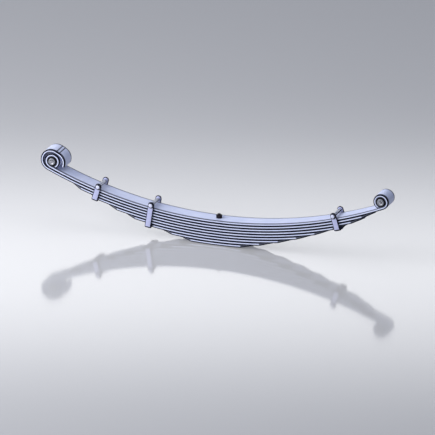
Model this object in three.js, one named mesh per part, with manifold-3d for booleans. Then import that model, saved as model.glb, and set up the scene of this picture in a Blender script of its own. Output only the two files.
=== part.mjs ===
// A nine-leaf semi-elliptic leaf spring for a vehicle axle, drawn unloaded.
//
// Frame, in millimetres: the origin is on the centre bolt's axis at the underside of the shortest
// leaf, where the axle's spring seat goes. +X runs along the spring to the shackle end, +Y runs
// across the leaves, and +Z is up. The front end, at -X, is the fixed end with the wrapped eye.

import * as THREE from 'three';
import { mergeVertices } from 'three/addons/utils/BufferGeometryUtils.js';
import Module from 'manifold-3d';

const wasm = await Module();
wasm.setup();

// ---------------------------------------------------------------------------------------------
// Driving dimensions
// ---------------------------------------------------------------------------------------------

// The leaf pack.
const LEAF_COUNT = 9;
const LEAF_WIDTH = 76.2;
const LEAF_THICKNESS = 11.1;
const LEAF_EDGE = 2.4; // bevel along the rolled edges
const TOP_RADIUS = 1750; // free radius of the main leaf's upper face
const SEAT_LENGTH = 50; // flat at the middle of every leaf
const EYE_SPAN = 1370; // between the eye centres
const LENGTH_STEP = 78; // each graduated leaf ends this much beyond the one below
const FRONT_EXTRA_LENGTH = 4; // the front halves of the graduated leaves are this much longer
const WRAPPER_REAR_LENGTH = 672; // from the centre bolt to the wrapper leaf's rear tip
const TRIM_LENGTH = 54; // the tips taper over this length
const TRIM_DEPTH = 20.5; // material taken off each corner of a tip
const TIP_THICKNESS = 6.5; // the underside rises to this over the trimmed length

// The eyes.
const EYE_BORE = 41.3;
const EYE_TURN = 309; // degrees that the main leaf curls round each eye
const WRAP_RADIUS = 39.8; // middle of the wrapper leaf's thickness
const WRAP_LEAD = 5.1; // the wrapper runs this far past the eye's centre before it turns
const WRAP_FIRST_TURN = 185; // degrees, up to the short flat
const WRAP_FLAT = 14;
const WRAP_SECOND_TURN = 85; // degrees, after the flat

// The rubber bushes in the eyes.
const SHELL_WALL = 1.6;
const SHELL_LENGTH = 76.2;
const SLEEVE_DIAMETER = 27.5;
const SLEEVE_BORE = 16.3;
const SLEEVE_LENGTH = 89;
const RUBBER_LENGTH = 78;
const RUBBER_GROOVE = 4; // depth of the groove moulded in each end

// The centre bolt.
const CENTRE_BOLT_DIAMETER = 12.7;
const CENTRE_HEAD_DIAMETER = 24;
const CENTRE_HEAD_RIM = 1;
const CENTRE_HEAD_DEPTH = 6.5;
const CENTRE_NUT_FLATS = 22.2;
const CENTRE_NUT_HEIGHT = 12.3;
const CENTRE_BOLT_STAND_OUT = 4.5; // above its nut

// The rebound clips.
const STRAP_WIDTH = 25.4;
const STRAP_THICKNESS = 6.35;
const STRAP_BEND_RADIUS = 3; // inside of the two lower bends
const STRAP_EDGE = 0.8;
const CLIP_BOLT_RISE = 12.3; // the bolt's axis above the main leaf
const CLIP_BOLT_DIAMETER = 9.5;
const CLIP_BOLT_STAND_OUT = 3;
const CLIP_FLATS = 14.3;
const CLIP_HEAD_HEIGHT = 6.4;
const CLIP_NUT_HEIGHT = 8.3;
const SPACER_DIAMETER = 12.7;
const RIVET_DIAMETER = 9.5;
const RIVET_HEAD_DIAMETER = 17;
const RIVET_HEAD_HEIGHT = 5.5;
const RIVET_FLARE_DIAMETER = 13;
const RIVET_FLARE_DEPTH = 3;

// Each clip: its name, how far along the main leaf it sits, and how many leaves it holds.
const CLIPS = [
  { name: 'clip_front_outer', along: -500, leaves: 4 },
  { name: 'clip_front_inner', along: -272, leaves: 7 },
  { name: 'clip_rear', along: 500, leaves: 4 },
];

// Clearances and facets.
const GAP = 0.3; // between pieces that touch on the real spring
const HOLE_CLEARANCE = 0.6; // on the diameter of a bolt or rivet hole
const LEAF_STATION_STEP = THREE.MathUtils.degToRad(1.5);
const CURL_STATION_STEP = THREE.MathUtils.degToRad(12);
const SHAFT_FACETS = 16;
const BUSH_FACETS = 28;
const CUTTER_OVERRUN = 10;
const WELD_DISTANCE = 1e-4;

// ---------------------------------------------------------------------------------------------
// Materials
// ---------------------------------------------------------------------------------------------

function paintedSpringSteel() {
  return new THREE.MeshStandardMaterial({ color: 0xb4bbdc, roughness: 0.42, metalness: 0.55 });
}

function paintedClipSteel() {
  return new THREE.MeshStandardMaterial({ color: 0xabaed6, roughness: 0.45, metalness: 0.5 });
}

function blackBoltSteel() {
  return new THREE.MeshStandardMaterial({ color: 0x1d1820, roughness: 0.5, metalness: 0.6 });
}

function bushRubber() {
  return new THREE.MeshStandardMaterial({ color: 0x17171c, roughness: 0.8, metalness: 0 });
}

function bareSteel() {
  return new THREE.MeshStandardMaterial({ color: 0x9a9ba3, roughness: 0.35, metalness: 0.9 });
}

// ---------------------------------------------------------------------------------------------
// Solids: manifold-3d joins and cuts, three.js makes every shape
// ---------------------------------------------------------------------------------------------

function toSolid(geometry) {
  const bare = geometry.clone();
  bare.deleteAttribute('normal');
  bare.deleteAttribute('uv');
  const welded = mergeVertices(bare, WELD_DISTANCE);
  const mesh = new wasm.Mesh({
    numProp: 3,
    vertProperties: new Float32Array(welded.attributes.position.array),
    triVerts: new Uint32Array(welded.index.array),
  });
  return new wasm.Manifold(mesh);
}

function toGeometry(solid) {
  const mesh = solid.getMesh();
  const geometry = new THREE.BufferGeometry();
  geometry.setAttribute('position', new THREE.BufferAttribute(mesh.vertProperties, 3));
  geometry.setIndex(new THREE.BufferAttribute(mesh.triVerts, 1));
  geometry.computeVertexNormals();
  return geometry;
}

function cut(geometry, cutters) {
  let solid = toSolid(geometry);
  for (const cutter of cutters) {
    solid = solid.subtract(toSolid(cutter));
  }
  return toGeometry(solid);
}

function join(first, second) {
  return toGeometry(toSolid(first).add(toSolid(second)));
}

function common(first, second) {
  return toGeometry(toSolid(first).intersect(toSolid(second)));
}

// ---------------------------------------------------------------------------------------------
// The arc that all the leaves share
// ---------------------------------------------------------------------------------------------

const LEAF_PITCH = LEAF_THICKNESS + GAP;
const EYE_RADIUS = EYE_BORE / 2;
const SEAT_ANGLE = Math.asin(SEAT_LENGTH / 2 / TOP_RADIUS);
const EYE_ANGLE = Math.asin(EYE_SPAN / 2 / (TOP_RADIUS - EYE_RADIUS));
const BOTTOM_RADIUS = TOP_RADIUS + LEAF_COUNT * LEAF_PITCH - GAP;

// The centre of the arc is above the spring, so that the lowest leaf's flat lies at Z = 0.
const ARC_CENTRE_HEIGHT = BOTTOM_RADIUS * Math.cos(SEAT_ANGLE);

// Angles are measured at the centre of the arc, from straight down towards +X.
function downDirection(angle) {
  return new THREE.Vector2(Math.sin(angle), -Math.cos(angle));
}

function alongDirection(angle) {
  return new THREE.Vector2(Math.cos(angle), Math.sin(angle));
}

// A point of the side view, which is the XZ plane, at this angle and distance from the centre.
function arcPoint(angle, radius) {
  return downDirection(angle).multiplyScalar(radius).add(new THREE.Vector2(0, ARC_CENTRE_HEIGHT));
}

function middleRadius(leafNumber) {
  return TOP_RADIUS + (leafNumber - 1) * LEAF_PITCH + LEAF_THICKNESS / 2;
}

// The frame of a clip or a tip: its origin is on the arc of this radius, its X runs along the
// leaf, and its Z points up from the leaf.
function arcFrame(angle, radius) {
  const origin = arcPoint(angle, radius);
  const frame = new THREE.Matrix4().makeRotationY(-angle);
  return frame.setPosition(origin.x, 0, origin.y);
}

// ---------------------------------------------------------------------------------------------
// Leaf side views, as stations along the middle of the thickness
// ---------------------------------------------------------------------------------------------

// A station is a point of the leaf's middle line, the angle of the outward direction there, and
// the leaf's thickness there. A thinner leaf keeps its upper face where it is.
function station(centre, radius, angle, thickness = LEAF_THICKNESS) {
  const point = downDirection(angle).multiplyScalar(radius).add(centre);
  return { point, angle, thickness };
}

// Stations of the shared arc from the seat up to this angle. Every leaf uses the same angles, so
// the facets of neighbouring leaves stay parallel.
function arcStations(leafNumber, endAngle) {
  const centre = new THREE.Vector2(0, ARC_CENTRE_HEIGHT);
  const stations = [];
  const lastAngle = endAngle - LEAF_STATION_STEP / 4;
  for (let angle = SEAT_ANGLE; angle < lastAngle; angle += LEAF_STATION_STEP) {
    stations.push(station(centre, middleRadius(leafNumber), angle));
  }
  stations.push(station(centre, middleRadius(leafNumber), endAngle));
  return stations;
}

// Stations of a tip, over which the underside rises.
function tipStations(leafNumber, startAngle, endAngle) {
  const centre = new THREE.Vector2(0, ARC_CENTRE_HEIGHT);
  const steps = 2;
  const stations = [];
  for (let step = 1; step <= steps; step += 1) {
    const share = step / steps;
    const angle = THREE.MathUtils.lerp(startAngle, endAngle, share);
    const thickness = THREE.MathUtils.lerp(LEAF_THICKNESS, TIP_THICKNESS, share);
    stations.push(station(centre, middleRadius(leafNumber), angle, thickness));
  }
  return stations;
}

// Stations of a curl of the given turn, which follow on from a station at startAngle.
function curlStations(centre, radius, startAngle, turn) {
  const steps = Math.ceil(turn / CURL_STATION_STEP);
  const stations = [];
  for (let step = 1; step <= steps; step += 1) {
    stations.push(station(centre, radius, startAngle + (turn * step) / steps));
  }
  return stations;
}

function eyeHalf() {
  const centre = arcPoint(EYE_ANGLE, TOP_RADIUS - EYE_RADIUS);
  const curlRadius = EYE_RADIUS + LEAF_THICKNESS / 2;
  const turn = THREE.MathUtils.degToRad(EYE_TURN);
  return [
    ...arcStations(1, EYE_ANGLE),
    ...curlStations(centre, curlRadius, EYE_ANGLE, turn),
  ];
}

// The wrapper leaf turns loosely round the main leaf's eye: one arc, a short flat, and another arc.
function wrapperHalf() {
  const startAngle = EYE_ANGLE + WRAP_LEAD / middleRadius(2);
  const firstTurn = THREE.MathUtils.degToRad(WRAP_FIRST_TURN);
  const secondTurn = THREE.MathUtils.degToRad(WRAP_SECOND_TURN);
  const flatAngle = startAngle + firstTurn;
  const firstCentre = arcPoint(startAngle, middleRadius(2) - WRAP_RADIUS);
  const flat = alongDirection(flatAngle).multiplyScalar(WRAP_FLAT);
  const secondCentre = firstCentre.clone().add(flat);
  return [
    ...arcStations(2, startAngle),
    ...curlStations(firstCentre, WRAP_RADIUS, startAngle, firstTurn),
    station(secondCentre, WRAP_RADIUS, flatAngle),
    ...curlStations(secondCentre, WRAP_RADIUS, flatAngle, secondTurn),
  ];
}

// The end is -1 at the front and 1 at the rear.
function halfLength(leafNumber, end) {
  if (leafNumber === 2) {
    return WRAPPER_REAR_LENGTH;
  }
  const length = LENGTH_STEP * (LEAF_COUNT + 2 - leafNumber);
  return end < 0 ? length + FRONT_EXTRA_LENGTH : length;
}

function tipAngle(leafNumber, end) {
  return halfLength(leafNumber, end) / middleRadius(leafNumber);
}

function plainHalf(leafNumber, end) {
  const endAngle = tipAngle(leafNumber, end);
  const taperAngle = endAngle - TRIM_LENGTH / middleRadius(leafNumber);
  return [
    ...arcStations(leafNumber, taperAngle),
    ...tipStations(leafNumber, taperAngle, endAngle),
  ];
}

// The side-view outline: along the lower face from the front end to the rear, and back on top.
function outline(frontHalf, rearHalf) {
  const half = LEAF_THICKNESS / 2;
  const upperFace = (stations, side) => stations.map(({ point, angle }) => {
    const shifted = downDirection(angle).multiplyScalar(-half).add(point);
    return new THREE.Vector2(side * shifted.x, shifted.y);
  });
  const lowerFace = (stations, side) => stations.map(({ point, angle, thickness }) => {
    const shifted = downDirection(angle).multiplyScalar(thickness - half).add(point);
    return new THREE.Vector2(side * shifted.x, shifted.y);
  });
  const lower = [...lowerFace(frontHalf, -1).reverse(), ...lowerFace(rearHalf, 1)];
  const upper = [...upperFace(frontHalf, -1).reverse(), ...upperFace(rearHalf, 1)];
  return new THREE.Shape([...lower, ...upper.reverse()]);
}

// ---------------------------------------------------------------------------------------------
// Leaves
// ---------------------------------------------------------------------------------------------

// Extrudes a side view, drawn in X and Z, across the spring with bevelled edges.
function extrudeAcross(shape, width, edge) {
  const geometry = new THREE.ExtrudeGeometry(shape, {
    depth: width - 2 * edge,
    bevelThickness: edge,
    bevelSize: edge,
    bevelOffset: -edge,
    bevelSegments: 1,
    steps: 1,
  });
  geometry.translate(0, 0, edge - width / 2);
  geometry.rotateX(Math.PI / 2);
  return geometry;
}

// The wedge that is cut off one corner of a tip. In plan its long edge is the tapered side. The
// end is -1 at the front and 1 at the rear, and the side is the sign of Y.
function tipCutter(leafNumber, end, side) {
  const taper = TRIM_DEPTH / TRIM_LENGTH;
  const halfWidth = LEAF_WIDTH / 2;
  const shape = new THREE.Shape([
    new THREE.Vector2(-TRIM_LENGTH, halfWidth),
    new THREE.Vector2(CUTTER_OVERRUN, halfWidth - taper * (TRIM_LENGTH + CUTTER_OVERRUN)),
    new THREE.Vector2(CUTTER_OVERRUN, halfWidth + CUTTER_OVERRUN),
    new THREE.Vector2(-TRIM_LENGTH, halfWidth + CUTTER_OVERRUN),
  ]);
  const depth = LEAF_THICKNESS + 2 * CUTTER_OVERRUN;
  const geometry = new THREE.ExtrudeGeometry(shape, { depth, bevelEnabled: false });
  geometry.translate(0, 0, -depth / 2);
  if (side < 0) {
    geometry.rotateX(Math.PI);
  }
  if (end < 0) {
    geometry.rotateZ(Math.PI);
  }
  const angle = end * tipAngle(leafNumber, end);
  return geometry.applyMatrix4(arcFrame(angle, middleRadius(leafNumber)));
}

function tipCutters(leafNumber, ends) {
  return ends.flatMap((end) => [1, -1].map((side) => tipCutter(leafNumber, end, side)));
}

function seatHeight(leafNumber) {
  return (BOTTOM_RADIUS - middleRadius(leafNumber) - LEAF_THICKNESS / 2) * Math.cos(SEAT_ANGLE);
}

function centreBoltHole(leafNumber) {
  const radius = (CENTRE_BOLT_DIAMETER + HOLE_CLEARANCE) / 2;
  const length = LEAF_THICKNESS + 2 * CUTTER_OVERRUN;
  const geometry = new THREE.CylinderGeometry(radius, radius, length, SHAFT_FACETS);
  geometry.rotateX(Math.PI / 2);
  return geometry.translate(0, 0, seatHeight(leafNumber) + LEAF_THICKNESS / 2);
}

// The clips that are riveted to this leaf, which is the lowest leaf that each one holds.
function rivetHoles(leafNumber) {
  const hosted = CLIPS.filter((clip) => clip.leaves === leafNumber);
  return hosted.map((clip) => rivetHole().applyMatrix4(clipFrame(clip)
    .multiply(new THREE.Matrix4().makeTranslation(0, 0, strapFloor(clip)))));
}

function mainLeaf() {
  const shape = outline(eyeHalf(), eyeHalf());
  return cut(extrudeAcross(shape, LEAF_WIDTH, LEAF_EDGE), [centreBoltHole(1)]);
}

function wrapperLeaf() {
  const shape = outline(wrapperHalf(), plainHalf(2, 1));
  const cutters = [centreBoltHole(2), ...tipCutters(2, [1])];
  return cut(extrudeAcross(shape, LEAF_WIDTH, LEAF_EDGE), cutters);
}

function graduatedLeaf(leafNumber) {
  const shape = outline(plainHalf(leafNumber, -1), plainHalf(leafNumber, 1));
  const cutters = [
    centreBoltHole(leafNumber),
    ...tipCutters(leafNumber, [-1, 1]),
    ...rivetHoles(leafNumber),
  ];
  if (leafNumber === LEAF_COUNT) {
    cutters.push(centreHeadRecess());
  }
  return cut(extrudeAcross(shape, LEAF_WIDTH, LEAF_EDGE), cutters);
}

// ---------------------------------------------------------------------------------------------
// Turned and hexagonal pieces, drawn about the Y axis
// ---------------------------------------------------------------------------------------------

// A profile is a list of [radius, height] from the lowest point outwards and up.
function turned(profile, facets) {
  const points = profile.map(([radius, height]) => new THREE.Vector2(radius, height));
  return new THREE.LatheGeometry(points, facets);
}

// A tube about the Y axis, centred on the origin, with chamfered ends.
function tube(innerDiameter, outerDiameter, length, chamfer, facets) {
  const inner = innerDiameter / 2;
  const outer = outerDiameter / 2;
  const end = length / 2;
  return turned([
    [inner, -end],
    [outer - chamfer, -end],
    [outer, chamfer - end],
    [outer, end - chamfer],
    [outer - chamfer, end],
    [inner, end],
    [inner, -end],
  ], facets);
}

// A hexagon from Y = 0 up to the height, with its corners turned down at the chosen ends.
function hexagon(acrossFlats, height, { chamferLow, chamferHigh }) {
  const cornerRadius = acrossFlats / Math.sqrt(3);
  const flatRadius = acrossFlats / 2;
  const drop = (cornerRadius - flatRadius) * Math.tan(Math.PI / 6);
  const prism = new THREE.CylinderGeometry(cornerRadius, cornerRadius, height, 6);
  prism.translate(0, height / 2, 0);
  const wide = cornerRadius + 1;
  const wideDrop = drop * (wide - flatRadius) / (cornerRadius - flatRadius);
  const low = chamferLow ? [[flatRadius, 0], [wide, wideDrop]] : [[wide, 0]];
  const high = chamferHigh ? [[wide, height - wideDrop], [flatRadius, height]] : [[wide, height]];
  return common(prism, turned([[0, 0], ...low, ...high, [0, height]], BUSH_FACETS));
}

function hexNut(acrossFlats, height, boltDiameter) {
  const radius = (boltDiameter + HOLE_CLEARANCE) / 2;
  const length = height + 2 * CUTTER_OVERRUN;
  const hole = new THREE.CylinderGeometry(radius, radius, length, SHAFT_FACETS);
  hole.translate(0, height / 2, 0);
  return cut(hexagon(acrossFlats, height, { chamferLow: true, chamferHigh: true }), [hole]);
}

// ---------------------------------------------------------------------------------------------
// Centre bolt
// ---------------------------------------------------------------------------------------------

const PACK_HEIGHT = seatHeight(1) + LEAF_THICKNESS * Math.cos(SEAT_ANGLE);

// A flat countersunk head, flush with the lowest leaf so that the axle's seat meets one plane.
function centreBolt() {
  const shank = CENTRE_BOLT_DIAMETER / 2;
  const head = CENTRE_HEAD_DIAMETER / 2;
  const top = PACK_HEIGHT + GAP + CENTRE_NUT_HEIGHT + CENTRE_BOLT_STAND_OUT;
  const chamfer = 1.2;
  const geometry = turned([
    [0, 0],
    [head, 0],
    [head, CENTRE_HEAD_RIM],
    [shank, CENTRE_HEAD_DEPTH],
    [shank, top - chamfer],
    [shank - chamfer, top],
    [0, top],
  ], SHAFT_FACETS);
  return geometry.rotateX(Math.PI / 2);
}

function centreHeadRecess() {
  const head = CENTRE_HEAD_DIAMETER / 2 + GAP;
  const shank = CENTRE_BOLT_DIAMETER / 2 + GAP;
  const geometry = turned([
    [0, -CUTTER_OVERRUN],
    [head, -CUTTER_OVERRUN],
    [head, CENTRE_HEAD_RIM + GAP],
    [shank, CENTRE_HEAD_DEPTH + GAP],
    [0, CENTRE_HEAD_DEPTH + GAP],
  ], SHAFT_FACETS);
  return geometry.rotateX(Math.PI / 2);
}

function centreNut() {
  const geometry = hexNut(CENTRE_NUT_FLATS, CENTRE_NUT_HEIGHT, CENTRE_BOLT_DIAMETER);
  geometry.rotateX(Math.PI / 2);
  return geometry.translate(0, 0, PACK_HEIGHT + GAP);
}

// ---------------------------------------------------------------------------------------------
// Rebound clips, drawn in the clip's own frame: Z = 0 is the main leaf's upper face
// ---------------------------------------------------------------------------------------------

const STRAP_INNER = LEAF_WIDTH / 2 + GAP;
const STRAP_OUTER = STRAP_INNER + STRAP_THICKNESS;

function clipFrame(clip) {
  return arcFrame(clip.along / TOP_RADIUS, TOP_RADIUS);
}

// Height of the inside of the strap's floor, just under the lowest leaf that the clip holds.
function strapFloor(clip) {
  return -clip.leaves * LEAF_PITCH;
}

// The U of the strap in front view, drawn in Y and Z.
function strapSection(floor) {
  const inner = STRAP_BEND_RADIUS;
  const outer = STRAP_BEND_RADIUS + STRAP_THICKNESS;
  const top = CLIP_BOLT_RISE + STRAP_WIDTH / 2;
  const shape = new THREE.Shape();
  shape.moveTo(-STRAP_OUTER, top);
  shape.lineTo(-STRAP_OUTER, floor + inner);
  shape.absarc(-STRAP_INNER + inner, floor + inner, outer, Math.PI, 1.5 * Math.PI, false);
  shape.lineTo(STRAP_INNER - inner, floor - STRAP_THICKNESS);
  shape.absarc(STRAP_INNER - inner, floor + inner, outer, 1.5 * Math.PI, 2 * Math.PI, false);
  shape.lineTo(STRAP_OUTER, top);
  shape.lineTo(STRAP_INNER, top);
  shape.lineTo(STRAP_INNER, floor + inner);
  shape.absarc(STRAP_INNER - inner, floor + inner, inner, 0, -0.5 * Math.PI, true);
  shape.lineTo(-STRAP_INNER + inner, floor);
  shape.absarc(-STRAP_INNER + inner, floor + inner, inner, -0.5 * Math.PI, -Math.PI, true);
  shape.lineTo(-STRAP_INNER, top);
  return shape;
}

// The strap's outline in side view, drawn in X and Z: straight legs with round ears.
function strapSide(floor) {
  const half = STRAP_WIDTH / 2;
  const shape = new THREE.Shape();
  shape.moveTo(-half, floor - STRAP_THICKNESS - CUTTER_OVERRUN);
  shape.lineTo(half, floor - STRAP_THICKNESS - CUTTER_OVERRUN);
  shape.lineTo(half, CLIP_BOLT_RISE);
  shape.absarc(0, CLIP_BOLT_RISE, half, 0, Math.PI, false);
  shape.lineTo(-half, CLIP_BOLT_RISE);
  return shape;
}

function strap(clip) {
  const floor = strapFloor(clip);
  const body = new THREE.ExtrudeGeometry(strapSection(floor), {
    depth: STRAP_WIDTH - 2 * STRAP_EDGE,
    bevelThickness: STRAP_EDGE,
    bevelSize: STRAP_EDGE,
    bevelOffset: -STRAP_EDGE,
    bevelSegments: 1,
    curveSegments: 4,
  });
  body.translate(0, 0, STRAP_EDGE - STRAP_WIDTH / 2);
  body.rotateX(Math.PI / 2);
  body.rotateZ(Math.PI / 2);
  const width = 2 * (STRAP_OUTER + CUTTER_OVERRUN);
  const sides = new THREE.ExtrudeGeometry(strapSide(floor), {
    depth: width,
    bevelEnabled: false,
    curveSegments: 10,
  });
  sides.translate(0, 0, -width / 2);
  sides.rotateX(Math.PI / 2);
  const holeRadius = (CLIP_BOLT_DIAMETER + HOLE_CLEARANCE) / 2;
  const boltHole = new THREE.CylinderGeometry(holeRadius, holeRadius, width, SHAFT_FACETS);
  boltHole.translate(0, 0, CLIP_BOLT_RISE);
  const rivetRadius = (RIVET_DIAMETER + HOLE_CLEARANCE) / 2;
  const rivetLength = 2 * CUTTER_OVERRUN + STRAP_THICKNESS;
  const rivetCutter = new THREE.CylinderGeometry(
    rivetRadius, rivetRadius, rivetLength, SHAFT_FACETS,
  );
  rivetCutter.rotateX(Math.PI / 2);
  rivetCutter.translate(0, 0, floor - STRAP_THICKNESS / 2);
  return cut(common(body, sides), [boltHole, rivetCutter]);
}

// The hole for a rivet in the leaf above the strap's floor, which is at Z = 0 here.
function rivetHole() {
  const shank = (RIVET_DIAMETER + HOLE_CLEARANCE) / 2;
  const flare = (RIVET_FLARE_DIAMETER + HOLE_CLEARANCE) / 2;
  const top = LEAF_PITCH;
  const geometry = turned([
    [0, -CUTTER_OVERRUN],
    [shank, -CUTTER_OVERRUN],
    [shank, top - RIVET_FLARE_DEPTH - GAP],
    [flare, top - GAP],
    [flare, top + GAP / 2],
    [0, top + GAP / 2],
  ], SHAFT_FACETS);
  return geometry.rotateX(Math.PI / 2);
}

// A round head under the strap, and an end that is closed flush in the leaf's upper face.
function rivet(clip) {
  const shank = RIVET_DIAMETER / 2;
  const flare = RIVET_FLARE_DIAMETER / 2;
  const head = RIVET_HEAD_DIAMETER / 2;
  const headFace = -STRAP_THICKNESS - GAP;
  const top = LEAF_THICKNESS - GAP;
  const dome = [];
  const domeSteps = 4;
  for (let step = 0; step < domeSteps; step += 1) {
    const angle = (step / domeSteps) * (Math.PI / 2);
    const radius = head * Math.sin(angle);
    dome.push([radius, headFace - RIVET_HEAD_HEIGHT * Math.cos(angle)]);
  }
  const geometry = turned([
    ...dome,
    [head, headFace],
    [shank, headFace],
    [shank, top - RIVET_FLARE_DEPTH],
    [flare, top],
    [0, top],
  ], SHAFT_FACETS);
  geometry.rotateX(Math.PI / 2);
  return geometry.translate(0, 0, strapFloor(clip));
}

// The bolt runs across the spring, with its head on the -Y side.
function clipBolt() {
  const radius = CLIP_BOLT_DIAMETER / 2;
  const headFace = -STRAP_OUTER - GAP;
  const end = STRAP_OUTER + GAP + CLIP_NUT_HEIGHT + CLIP_BOLT_STAND_OUT;
  const chamfer = 1;
  const overlap = 1;
  const shank = turned([
    [0, headFace - overlap],
    [radius, headFace - overlap],
    [radius, end - chamfer],
    [radius - chamfer, end],
    [0, end],
  ], SHAFT_FACETS);
  const head = hexagon(CLIP_FLATS, CLIP_HEAD_HEIGHT, { chamferLow: true, chamferHigh: false });
  head.translate(0, headFace - CLIP_HEAD_HEIGHT, 0);
  return join(head, shank).translate(0, 0, CLIP_BOLT_RISE);
}

function clipNut() {
  const geometry = hexNut(CLIP_FLATS, CLIP_NUT_HEIGHT, CLIP_BOLT_DIAMETER);
  return geometry.translate(0, STRAP_OUTER + GAP, CLIP_BOLT_RISE);
}

function clipSpacer() {
  const bore = CLIP_BOLT_DIAMETER + HOLE_CLEARANCE;
  const length = 2 * (STRAP_INNER - GAP);
  const chamfer = 0.5;
  const geometry = tube(bore, SPACER_DIAMETER, length, chamfer, SHAFT_FACETS);
  return geometry.translate(0, 0, CLIP_BOLT_RISE);
}

// ---------------------------------------------------------------------------------------------
// Rubber bushes, drawn about the Y axis through the eye's centre
// ---------------------------------------------------------------------------------------------

const SHELL_OUTER = EYE_BORE - 2 * GAP - 0.1; // diameter, clear of the curl's facets
const SHELL_INNER = SHELL_OUTER - 2 * SHELL_WALL;

function bushShell() {
  const chamfer = 0.5;
  return tube(SHELL_INNER, SHELL_OUTER, SHELL_LENGTH, chamfer, BUSH_FACETS);
}

function bushSleeve() {
  const chamfer = 1;
  return tube(SLEEVE_BORE, SLEEVE_DIAMETER, SLEEVE_LENGTH, chamfer, BUSH_FACETS);
}

// The rubber stands a little proud at each end and has a moulded groove between its two lips.
function bushRubberBody() {
  const inner = SLEEVE_DIAMETER / 2 + GAP;
  const outer = SHELL_INNER / 2 - GAP;
  const middle = (inner + outer) / 2;
  const lip = 0.6;
  const end = RUBBER_LENGTH / 2;
  return turned([
    [inner, -end],
    [inner + lip, -end],
    [middle, RUBBER_GROOVE - end],
    [outer - lip, -end],
    [outer, lip - end],
    [outer, end - lip],
    [outer - lip, end],
    [middle, end - RUBBER_GROOVE],
    [inner + lip, end],
    [inner, end],
    [inner, -end],
  ], BUSH_FACETS);
}

// ---------------------------------------------------------------------------------------------
// Assembly
// ---------------------------------------------------------------------------------------------

const group = new THREE.Group();

function piece(name, geometry, material, parent = group) {
  const mesh = new THREE.Mesh(geometry, material);
  mesh.name = name;
  parent.add(mesh);
  return mesh;
}

function addLeaves() {
  piece('leaf_1_main', mainLeaf(), paintedSpringSteel());
  piece('leaf_2_wrapper', wrapperLeaf(), paintedSpringSteel());
  for (let leafNumber = 3; leafNumber <= LEAF_COUNT; leafNumber += 1) {
    piece(`leaf_${leafNumber}`, graduatedLeaf(leafNumber), paintedSpringSteel());
  }
}

function addCentreBolt() {
  piece('centre_bolt', centreBolt(), blackBoltSteel());
  piece('centre_bolt_nut', centreNut(), blackBoltSteel());
}

function addClip(clip) {
  const place = new THREE.Group();
  place.applyMatrix4(clipFrame(clip));
  group.add(place);
  piece(`${clip.name}_strap`, strap(clip), paintedClipSteel(), place);
  piece(`${clip.name}_rivet`, rivet(clip), paintedClipSteel(), place);
  piece(`${clip.name}_bolt`, clipBolt(), paintedClipSteel(), place);
  piece(`${clip.name}_spacer`, clipSpacer(), paintedClipSteel(), place);
  piece(`${clip.name}_nut`, clipNut(), paintedClipSteel(), place);
}

function addBush(name, end) {
  const centre = arcPoint(end * EYE_ANGLE, TOP_RADIUS - EYE_RADIUS);
  const place = new THREE.Group();
  place.position.set(centre.x, 0, centre.y);
  group.add(place);
  piece(`${name}_shell`, bushShell(), bareSteel(), place);
  piece(`${name}_rubber`, bushRubberBody(), bushRubber(), place);
  piece(`${name}_sleeve`, bushSleeve(), bareSteel(), place);
}

addLeaves();
addCentreBolt();
CLIPS.forEach(addClip);
addBush('front_bush', -1);
addBush('rear_bush', 1);

export default group;
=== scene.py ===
"""The looks of a nine-leaf vehicle spring, over the frame that the CAD model gives.

Shapes are worked out in millimetres in the CAD model's frame and made in metres. +X runs along
the spring to the shackle end, +Y across the leaves and +Z up. Every CAD node is replaced by a
finer mesh of the same size in the same place.
"""

import math

import bmesh
import bpy
from mathutils import Matrix, Vector


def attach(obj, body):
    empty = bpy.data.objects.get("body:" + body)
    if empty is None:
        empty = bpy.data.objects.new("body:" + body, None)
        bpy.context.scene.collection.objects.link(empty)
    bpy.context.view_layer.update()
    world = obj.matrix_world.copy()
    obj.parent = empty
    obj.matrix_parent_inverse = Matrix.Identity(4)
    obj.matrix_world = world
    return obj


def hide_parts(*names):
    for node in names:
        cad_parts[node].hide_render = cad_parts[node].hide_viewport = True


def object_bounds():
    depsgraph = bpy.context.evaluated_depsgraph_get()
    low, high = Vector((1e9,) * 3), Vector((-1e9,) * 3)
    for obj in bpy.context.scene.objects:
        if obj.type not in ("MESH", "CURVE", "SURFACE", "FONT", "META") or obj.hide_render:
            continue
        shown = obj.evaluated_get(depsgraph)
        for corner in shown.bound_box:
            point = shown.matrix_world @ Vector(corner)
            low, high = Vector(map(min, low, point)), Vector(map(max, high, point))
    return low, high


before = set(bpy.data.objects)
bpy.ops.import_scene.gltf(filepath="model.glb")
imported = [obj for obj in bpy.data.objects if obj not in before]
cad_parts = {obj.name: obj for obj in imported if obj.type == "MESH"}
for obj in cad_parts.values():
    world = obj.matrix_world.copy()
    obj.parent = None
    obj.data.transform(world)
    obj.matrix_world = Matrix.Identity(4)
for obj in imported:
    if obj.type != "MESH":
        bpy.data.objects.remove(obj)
cad_low, cad_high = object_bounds()

# ----------------------------------------------------------------------
# Dimensions, in millimetres and degrees
# ----------------------------------------------------------------------

MM = 0.001

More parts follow.
